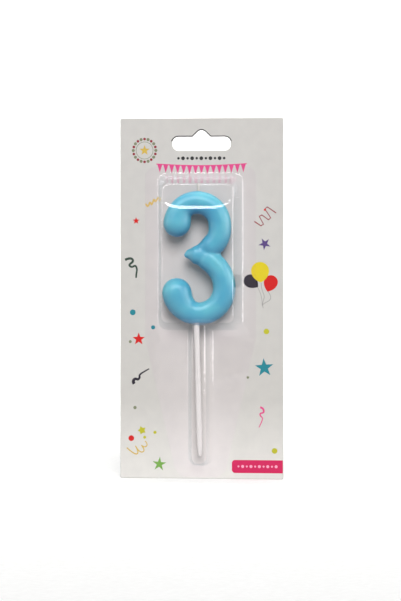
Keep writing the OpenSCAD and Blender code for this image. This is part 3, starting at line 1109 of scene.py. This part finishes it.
class CANDLEPACK_OT_stage(bpy.types.Operator):
    """Sets the floor and backdrop, the lamps and the camera"""
    bl_idname = "candlepack.stage"
    bl_label = "Studio"

    def execute(self, context):
        scene = context.scene
        low, high = (Vector(corner) for corner in CAD_BOUNDS)
        # floor, swept up behind the pack, in metres
        wide, deep, tall = 5.0, 2.6, 2.6
        clear_selection()
        bpy.ops.mesh.primitive_plane_add(size=1, location=(0, 0.2, low.z - 0.05 * MM))
        paper = bpy.context.object
        paper.name = "studio_sweep"
        paper.scale = (wide, deep, 1)
        settle(paper)
        edit(paper, "EDGE")
        back = max(v.co.y for v in paper.data.vertices)
        pick_parts(paper, "edges", lambda e: all(v.co.y > back - 0.01 for v in e.verts))
        extrude(0, 0, tall)
        pick_parts(paper, "edges", lambda e: all(
            v.co.y > back - 0.01 and v.co.z < low.z + 0.01 for v in e.verts))
        bpy.ops.mesh.bevel(offset=0.5, segments=16, affect="EDGES")
        clear_selection()
        smooth(paper, 60)
        paper.data.materials.append(studio_paper())

        world = bpy.data.worlds.new("studio_air")
        scene.world = world
        world.use_nodes = True
        world.node_tree.nodes.clear()
        air = add(world.node_tree, "ShaderNodeBackground", {"Color": (1.0, 1.0, 1.0, 1.0), "Strength": 0.25})
        add(world.node_tree, "ShaderNodeOutputWorld", {"Surface": air.outputs["Background"]})

        centre = (low + high) / 2
        clear_selection()
        bpy.ops.object.light_add(type="SUN", location=centre + Vector((0.25, -1.4, 0.95)))
        key = bpy.context.object
        key.name = "key"
        key.data.energy = 2.8
        key.data.angle = math.radians(36)
        key.rotation_euler = (centre - key.location).to_track_quat("-Z", "Y").to_euler()
        key.visible_glossy = False
        # the softboxes that show in the film and the wax; the sun alone lights their colours
        for name, at, wide, tall, power in (
                ("strip_over", Vector((-0.2, -1.35, 1.45)), 2.6, 0.42, 50.0),
                ("strip_left", Vector((-1.15, -1.5, 0.6)), 0.25, 1.0, 7.0),
                ("strip_right", Vector((1.15, -1.5, 0.6)), 0.25, 1.0, 7.0),
                ("side", Vector((1.0, -0.2, 0.1)), 0.8, 1.1, 16.0),
                ("side_left", Vector((-1.0, -0.2, 0.1)), 0.3, 1.1, 4.0)):
            self.lamp(name, centre + at, centre, wide, tall, power).visible_diffuse = False
        self.lamp("backdrop", Vector((0, 0.3, 1.5)), Vector((0, 1.5, 0.2)), 1.6, 0.4, 22.0)

        # long lens, a little to the right of straight on
        scene.view_settings.view_transform = "Standard"
        turn, rise, far = math.radians(6.6), math.radians(1.0), 1.3
        aim = Vector((-0.5 * MM, 0, -85.1 * MM))
        eye = aim + far * Vector((
            math.sin(turn) * math.cos(rise), -math.cos(turn) * math.cos(rise), math.sin(rise)))
        clear_selection()
        bpy.ops.object.camera_add(location=eye)
        camera = bpy.context.object
        camera.name = "front_camera"
        camera.rotation_euler = (aim - eye).to_track_quat("-Z", "Y").to_euler()
        camera.data.sensor_width = 36.0
        camera.data.lens = 155.7
        camera.data.clip_end = 20.0
        scene.camera = camera
        return {"FINISHED"}

    def lamp(self, name, at, aim, wide, tall, power):
        """A softbox at a place, turned to an aim."""
        clear_selection()
        bpy.ops.object.light_add(type="AREA", location=at)
        lamp = bpy.context.object
        lamp.name = name
        lamp.data.shape = "RECTANGLE"
        lamp.data.size = wide
        lamp.data.size_y = tall
        lamp.data.energy = power
        lamp.rotation_euler = (aim - at).to_track_quat("-Z", "Y").to_euler()
        return lamp


# ---------------------------------------------------------------- panel and start

class CANDLEPACK_PT_panel(bpy.types.Panel):
    """Sizes, colours and the steps that make the pack"""
    bl_idname = "CANDLEPACK_PT_panel"
    bl_label = "Candle Pack"
    bl_space_type = "VIEW_3D"
    bl_region_type = "UI"
    bl_category = "Candle Pack"

    def draw(self, context):
        layout = self.layout
        for step in STEPS:
            layout.operator(step.bl_idname)
        for group in (context.scene.candle_sizes, context.scene.pack_sizes, context.scene.pack_colours):
            box = layout.box()
            for name in group.__annotations__:
                box.prop(group, name)


STEPS = (
    CANDLEPACK_OT_wax,
    CANDLEPACK_OT_wick,
    CANDLEPACK_OT_pick,
    CANDLEPACK_OT_board,
    CANDLEPACK_OT_print,
    CANDLEPACK_OT_sheet,
    CANDLEPACK_OT_stage,
)
GROUPS = (CandleSizes, PackSizes, PackColours)


def register():
    for item in GROUPS + STEPS + (CANDLEPACK_PT_panel,):
        bpy.utils.register_class(item)
    bpy.types.Scene.candle_sizes = bpy.props.PointerProperty(type=CandleSizes)
    bpy.types.Scene.pack_sizes = bpy.props.PointerProperty(type=PackSizes)
    bpy.types.Scene.pack_colours = bpy.props.PointerProperty(type=PackColours)


def unregister():
    del bpy.types.Scene.candle_sizes
    del bpy.types.Scene.pack_sizes
    del bpy.types.Scene.pack_colours
    for item in reversed(GROUPS + STEPS + (CANDLEPACK_PT_panel,)):
        bpy.utils.unregister_class(item)


def main():
    register()
    for step in STEPS:
        getattr(bpy.ops.candlepack, step.bl_idname.split(".")[1])()


if __name__ == "__main__":
    main()
